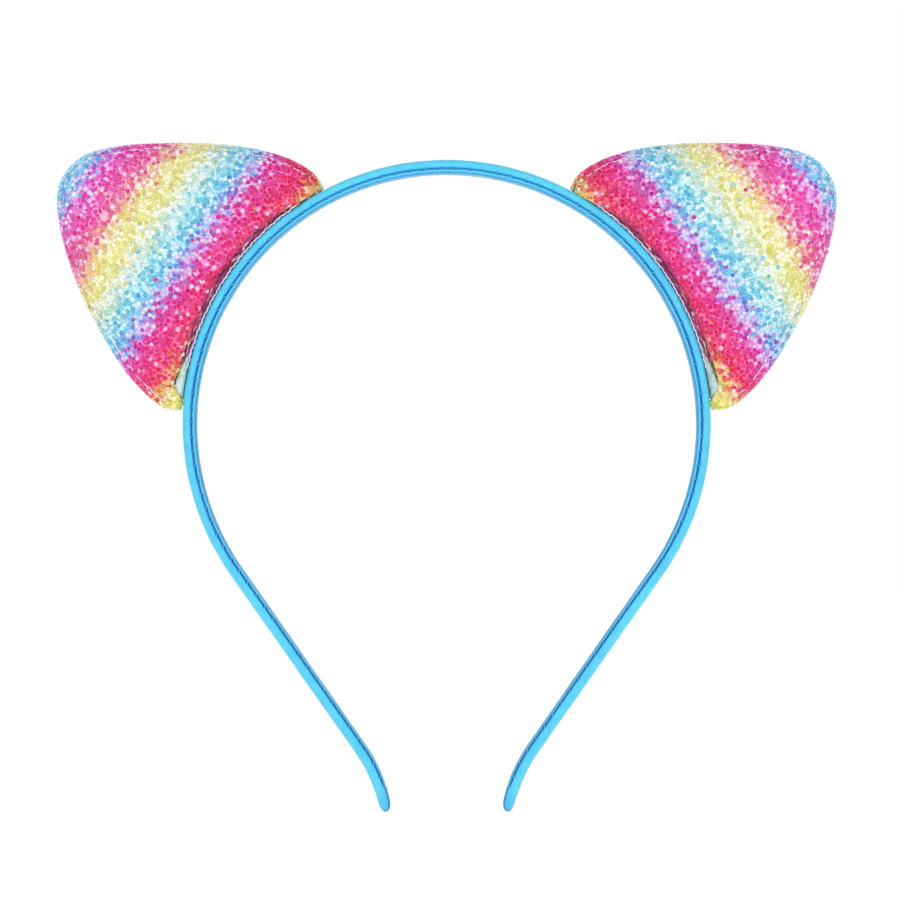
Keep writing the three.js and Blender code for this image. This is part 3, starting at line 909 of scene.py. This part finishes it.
def disc(place, way, glitter):
    """The points of a round glitter disc, its middle first. It leans a little from the surface's normal."""
    lean = np.clip(rng.normal(0, math.radians(glitter["tilt"]), 2), -0.7, 0.7)
    first = unit(np.cross((0.0, 0.0, 1.0) if abs(way[2]) < 0.9 else (1.0, 0.0, 0.0), way))
    second = np.cross(way, first)
    way = unit(way + first * math.tan(lean[0]) + second * math.tan(lean[1]))
    first = unit(np.cross(second, way))
    second = np.cross(way, first)
    radius = rng.uniform(*glitter["radius"])
    centre = place + way * rng.uniform(*glitter["lift"])
    turns = np.arange(DISC_SIDES) * 2 * math.pi / DISC_SIDES + rng.random() * math.pi
    ring = centre + radius * (np.outer(np.cos(turns), first) + np.outer(np.sin(turns), second))
    return [centre + way * DISC_DOME, *ring]


def disc_look(u, v):
    """The stripe distance, a random number and the clearness of the disc at a place of an ear."""
    stray = rng.normal(0, 4.0) if rng.random() < 0.04 else rng.normal(0, 1.2)
    where = striped_distance(u, v) + stray
    chance = rng.random()
    from_seat = math.hypot(u, v + OUTER_RADIUS) - SEAT_RADIUS
    # Discs close to the seat become dark smoky ones: painted shade under the ear's edge
    if from_seat < 1.5 and abs(u) < 23 and rng.random() < 0.45 - 0.4 * from_seat:
        chance = SHADED_DISC
    pale = np.interp(where, CLEAR_PLACES, CLEAR_SHARES)
    clear = rng.uniform(0.7, 1.0) if rng.random() < pale else rng.random() ** 2 * (0.06 + 0.6 * pale)
    return where, chance, clear


def flakes(name, layers, sign):
    """Glitter on a surface. The layers are (places, normals, kind of glitter)."""
    points, faces, facts, clears = [], [], [], []
    for places, ways, glitter in layers:
        for place, way, (u, v, _) in zip(places, ways, ear_place(places, sign)):
            base = len(points)
            points += disc(place, way, glitter)
            faces += [(base, base + 1 + k, base + 1 + (k + 1) % DISC_SIDES) for k in range(DISC_SIDES)]
            where, chance, clear = disc_look(u, v)
            clears += [clear] * (DISC_SIDES + 1)
            facts += [(where, chance, 0.0)] + [(where, chance, 1.0)] * DISC_SIDES
    ob = new_object(name, np.array(points), faces, GLITTER, closed=False)
    keep(ob, "flake", facts)
    keep(ob, "clear", clears)
    return ob


def shadow(spots):
    """How much painted shade each point of an ear gets along its edge by the band, from 0 to 1."""
    share = np.clip(1 - gaps(spots[:, :2], seat_line(0.5)) / 0.65, 0, 1)
    return share * np.clip((26 - np.abs(spots[:, 0])) / 5, 0, 1) * 0.75


def crease_glint(points, normals, sign, seed):
    """A path on a panel just inside its rim, for a thin pale tube along the seam: a painted highlight where
    the cloth's crease catches the light.
    """
    flat = ear_place(points, sign)[:, :2]
    path = []
    for i, p in enumerate(rim_line(1.5, 0.5)[6:-6]):
        wave = 0.28 * noise.noise(Vector((i * 0.11, seed, 0)))
        wave += 0.22 * noise.noise(Vector((i * 0.4, seed, 5)))
        p = p + unit(np.array([0.0, 14.0]) - p) * (wave * 2 + 0.1)
        away = np.linalg.norm(flat - p, axis=1)
        near = np.argsort(away)[:4]
        lifted = points[near, 1] + normals[near, 1] * 0.3
        path.append((*p, np.average(lifted, weights=1 / (away[near] + 0.05))))
    return ear_world(path, sign)


def vertex_places(ob):
    """An object's vertices in mm."""
    return np.array([v.co[:] for v in ob.data.vertices]) / MM


def ear_panel(side, sign, word, way, cloth, triangles):
    """One face of an ear: the panel, its glitter and a pale line along its rim, a painted highlight on the
    cloth's crease.
    """
    name, seed = f"{side}_ear_{word}", 5 + 7 * way + 3 * sign
    points, faces = refined(ear_world(cloth * (1, 1, way), sign), triangles)
    normals = vertex_normals(points, faces, (0, way, 0))
    points = roughened(points, normals, 0.35, 7.0, seed)
    normals = vertex_normals(points, faces, (0, way, 0))
    both = np.vstack([points, points - normals * PANEL])
    panel = new_object(f"{name}_panel", both, closed_pair(faces, len(points)), GROUND)
    spots = ear_place(both, sign)
    keep(panel, "ear", spots)
    keep(panel, "shadowed", shadow(spots))
    fasten(panel, side, sign, "rainbow_glitter", f"{name}_panel")
    layers = [(*clear_of_edge(*spaced(points, faces, normals, kind), sign), kind) for kind in (BEDDED, LOOSE)]
    fasten(flakes(f"{name}_glitter", layers, sign), side, sign, "rainbow_glitter")
    # A pale tube just inside the rim: painted highlight where the cloth creases
    glint_tube = tube_along(f"{name}_crease_glint", crease_glint(points, normals, sign, seed), 0.14, FELT)
    fasten(glint_tube, side, sign, "white_felt")
    return points, faces, normals


def ear_padding(side, sign, front, back):
    """The filling: one closed body just inside the panels."""
    (front, faces, front_normals), (back, _, back_normals) = front, back
    front, back = front - front_normals * 0.9, back - back_normals * 0.9
    front[:, 1] = np.minimum(front[:, 1], -0.05)
    back[:, 1] = np.maximum(back[:, 1], 0.05)
    faces = closed_pair(faces, len(front))
    padding = new_object(f"{side}_ear_padding", np.vstack([front, back]), faces, FIBRE)
    fasten(padding, side, sign, "polyester_fill", f"{side}_ear_padding")


def ear_rim(side, sign):
    """The piping between the panels with its fine glitter, and the seam thread behind it."""
    rim = rim_line(0.4, 0.8)
    line = ear_world(np.column_stack([rim, 0 * rim[:, 0]]), sign)
    piping = tube_along(f"{side}_ear_rim_piping", line, 0.4, GROUND, sides=10)
    places = vertex_places(piping)
    keep(piping, "ear", ear_place(places, sign))
    fasten(piping, side, sign, "rainbow_glitter")
    normals = np.array([n.vector[:] for n in piping.data.vertex_normals])
    faces = [tuple(f.vertices) for f in piping.data.polygons]
    glitter = flakes(f"{side}_ear_rim_glitter", [(*spaced(places, faces, normals, FINE), FINE)], sign)
    fasten(glitter, side, sign, "rainbow_glitter")
    rim = rim_line(1.15, 0.45)
    turns = np.arange(len(rim)) * 0.45 / 2.6 * 2 * math.pi
    line = ear_world(np.column_stack([rim, 0.3 * np.sin(turns)])[2:-2], sign)
    thread = tube_along(f"{side}_ear_rim_seam_thread", line, 0.2, EDGE_THREAD)
    fasten(thread, side, sign, "seam_thread", f"{side}_ear_rim_seam_thread")


def ribbon(name, radii, arc, spread, sign, wave, material):
    """A strip about the hoop's centre with a wavy front and back edge. arc is its ends in degrees from the
    ear's axis and its steps; spread turns a place across the ear into half the strip's width."""
    thin, middle = (radii[1] - radii[0]) / 2, (radii[0] + radii[1]) / 2
    lip = min(0.1, thin)
    points = []
    for i, a in enumerate(np.radians(np.linspace(*arc))):
        ripple = [wave * (0.16 * math.sin(i * 1.3 + k * 2.1) + 0.12 * math.sin(i * 0.47 + k)) for k in (0, 1)]
        front, back = (spread(BASE_RADIUS * math.sin(a)) + r for r in ripple)
        mid = middle + 0.5 * ripple[1]
        low = [(-front, mid - lip), (0.25 - front, mid - thin), (back - 0.25, mid - thin), (back, mid - lip)]
        turn = EAR_AXIS + a
        for y, r in low + [(y, 2 * mid - r) for y, r in low[::-1]]:
            points.append((sign * r * math.sin(turn), y, CENTRE_Z + r * math.cos(turn)))
    return new_object(name, points, closed_tube(arc[2], 8), material)


def glue_bead(name, sign):
    """A flat run of hot glue between the band and the ear's lower corner, widest near its end."""
    count, sides = 32, 14
    turns = np.arange(sides) * 2 * math.pi / sides
    rings = []
    for i, turn in enumerate(EAR_AXIS + np.radians(np.linspace(17.4, 27.5, count))):
        t = i / (count - 1)
        height = np.interp(t, [0, 0.2, 0.5, 0.75, 0.9, 1], [0.7, 1.5, 2.3, 2.7, 2.3, 0.9])
        height += 0.12 * math.sin(i * 1.7) + 0.07 * math.sin(i * 3.1)
        deep = np.interp(t, [0, 0.3, 0.7, 0.9, 1], [3.7, 4.1, 3.8, 2.6, 1.2])
        r = GLUE_RADIUS + height * (0.5 + 0.5 * blunt(np.cos(turns), 0.7))
        y = deep * blunt(np.sin(turns), 0.6)
        rings.append(np.stack([sign * r * math.sin(turn), y, CENTRE_Z + r * math.cos(turn)], 1))
    return new_object(name, np.vstack(rings), closed_tube(count, sides), GLUE)


def ear_base(side, sign):
    """The hem of the cloth, dark with painted shade, the felt strip with its wavy cut edge, and the patch of
    glue.
    """
    hem = ribbon(f"{side}_ear_base_hem", HEM_RADII, (-18.5, 20.0, 110),
                 lambda u: seat_spread(u) * 0.96, sign, 0.3, SHADED_HEM)
    u, v, y = ear_place(vertex_places(hem), sign).T
    out = v + OUTER_RADIUS
    keep(hem, "run", np.column_stack([SEAT_RADIUS * np.arctan2(u, out), np.hypot(u, out), y]))
    fasten(hem, side, sign, "rainbow_glitter")
    strip = ribbon(f"{side}_ear_base_strip", STRIP_RADII, (-22.5, 21.0, 150),
                   lambda u: seat_spread(u) + 0.2, sign, 1.0, FELT)
    fasten(strip, side, sign, "white_felt", f"{side}_ear_base_strip")
    bead = glue_bead(f"{side}_ear_glue_bead", sign)
    fasten(bead, side, sign, "hot_melt_glue", f"{side}_ear_glue_bead")


# ---------------------------------------------------------------- light, floor and camera

def area_light(name, place, aim, size, power):
    data = bpy.data.lights.new(name, "AREA")
    data.shape = "RECTANGLE"
    data.size, data.size_y = size
    data.energy = power
    ob = bpy.data.objects.new(name, data)
    ob.location = place
    ob.rotation_euler = (Vector(aim) - Vector(place)).to_track_quat("-Z", "Y").to_euler()
    scene.collection.objects.link(ob)


def studio():
    """White surroundings, brighter to the camera than to the object, and four soft lights."""
    world = bpy.data.worlds.new("studio")
    world.use_nodes = True
    tree = world.node_tree
    seen = tree.nodes.new("ShaderNodeLightPath").outputs["Is Camera Ray"]
    strength = tree.nodes.new("ShaderNodeMapRange")
    tree.links.new(seen, strength.inputs[0])
    strength.inputs[3].default_value, strength.inputs[4].default_value = 0.6, 1.0
    background = tree.nodes["Background"]
    background.inputs["Color"].default_value = (1, 1, 1, 1)
    tree.links.new(strength.outputs[0], background.inputs["Strength"])
    scene.world = world
    scene.view_settings.view_transform = "Standard"

    middle = (0, 0, -0.06)
    area_light("key", (-0.35, -0.75, 0.65), middle, (0.5, 0.4), 3.2)
    area_light("fill", (0.7, -0.7, 0.25), middle, (0.6, 0.6), 1.6)
    area_light("front", (0.0, -1.3, 0.05), middle, (0.8, 0.5), 2.6)
    area_light("back", (0.2, 0.9, 0.5), middle, (0.7, 0.5), 3)


def pale_floor():
    s = Surface("pale_floor", Specular_ior_level=0.1, Emission_strength=0.46, Emission_color=(1, 1, 1, 1))
    grain = s.noise(s.own_place(), 3.0, 3.0)
    s.feed("Base Color", s.mix(grain, (0.93, 0.93, 0.93, 1), (0.96, 0.96, 0.96, 1)))
    s.feed("Roughness", s.between(grain, 0.0, 1.0, 0.7, 0.85))
    half, height = 6000, -240
    corners = [(-half, -half, height), (half, -half, height), (half, half, height), (-half, half, height)]
    new_object("floor", corners, [(0, 1, 2, 3)], s.material, closed=False)


def front_camera():
    """The photograph's view: straight from the front, from far off."""
    camera = bpy.data.cameras.new("camera")
    camera.lens, camera.sensor_width = 166.7, 36
    ob = bpy.data.objects.new("camera", camera)
    ob.location = (0.00079, -1.0, -0.0662)
    ob.rotation_euler = (math.pi / 2, 0, 0)
    scene.collection.objects.link(ob)
    scene.camera = ob


for side, sign in SIDES:
    band_half(side, sign)
cloth, triangles = ear_cloth()
for side, sign in SIDES:
    front = ear_panel(side, sign, "front", -1, cloth, triangles)
    back = ear_panel(side, sign, "back", 1, cloth, triangles)
    ear_padding(side, sign, front, back)
    ear_rim(side, sign)
    ear_base(side, sign)
studio()
pale_floor()
front_camera()
